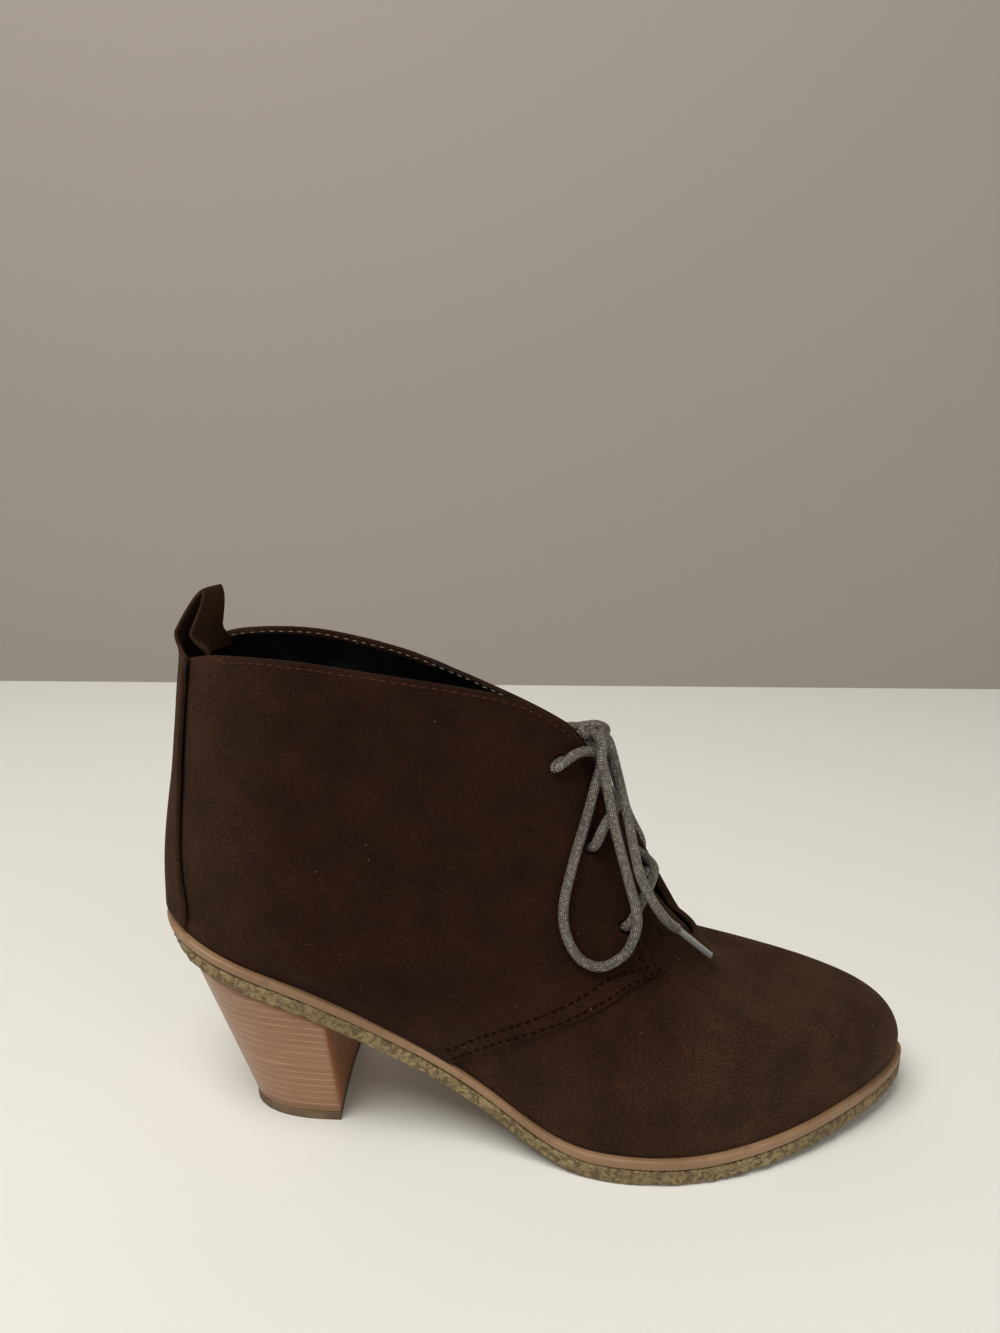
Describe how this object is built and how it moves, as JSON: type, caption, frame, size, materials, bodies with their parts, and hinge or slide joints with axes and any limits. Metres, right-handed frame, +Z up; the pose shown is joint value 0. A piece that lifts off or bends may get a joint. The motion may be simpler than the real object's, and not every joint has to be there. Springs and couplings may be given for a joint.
{
  "type": "ankle boot",
  "caption": "Brown microsuede heeled lace-up ankle boot for the right foot, with a crepe sole, a stacked block heel and a back pull loop.",
  "frame": {"origin": "on the floor, under the middle of the sole's length and width", "axes": "+X to the toe, +Z up, -Y to the outer side of the foot"},
  "size_m": [0.2406, 0.089, 0.1702],
  "materials": {
    "crepe": "crinkled matte",
    "strip": "smooth",
    "lining": "smooth, slightly glossy",
    "stacked_heel": "satin with fine stacked lines",
    "heel_rubber": "matte",
    "suede": "short matte nap",
    "lace": "waxed round braid",
    "aglet": "clear, glossy"
  },
  "bodies": {
    "root": {"outsole": "crepe", "midsole": "strip", "insole": "lining", "heel_block": "stacked_heel", "top_piece": "heel_rubber", "upper": "suede", "tongue": "suede", "pull_strap": "suede", "lace_cross_lower": "lace", "lace_cross_upper": "lace", "lace_top": "lace", "lace_knot": "lace", "lace_loop_lateral": "lace", "lace_loop_medial": "lace", "lace_end_lateral": "lace", "lace_end_medial": "lace", "aglet_lateral": "aglet", "aglet_medial": "aglet"}
  },
  "joints": []
}
